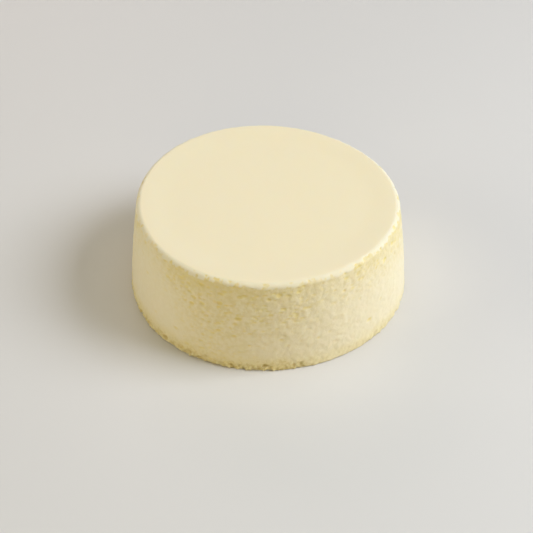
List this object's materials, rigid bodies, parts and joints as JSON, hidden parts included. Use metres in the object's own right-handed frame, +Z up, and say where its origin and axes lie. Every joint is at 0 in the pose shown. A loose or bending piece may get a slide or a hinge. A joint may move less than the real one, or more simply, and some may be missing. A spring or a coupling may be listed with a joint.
{
  "type": "cheesecake",
  "caption": "Plain round baked cheesecake without a crust, turned out of its mould: tapered porous side, soft lip, smooth pale top and crumbly foot.",
  "frame": {"origin": "centre of the flat foot that the cake stands on", "axes": "+Z up through the middle of the top, along the height; +X to the right and +Y to the back as the cake is first seen"},
  "size_m": [0.0799, 0.0798, 0.0286],
  "materials": {
    "baked_cheesecake": "satin"
  },
  "bodies": {
    "root": {"cheesecake": "baked_cheesecake"}
  },
  "joints": []
}
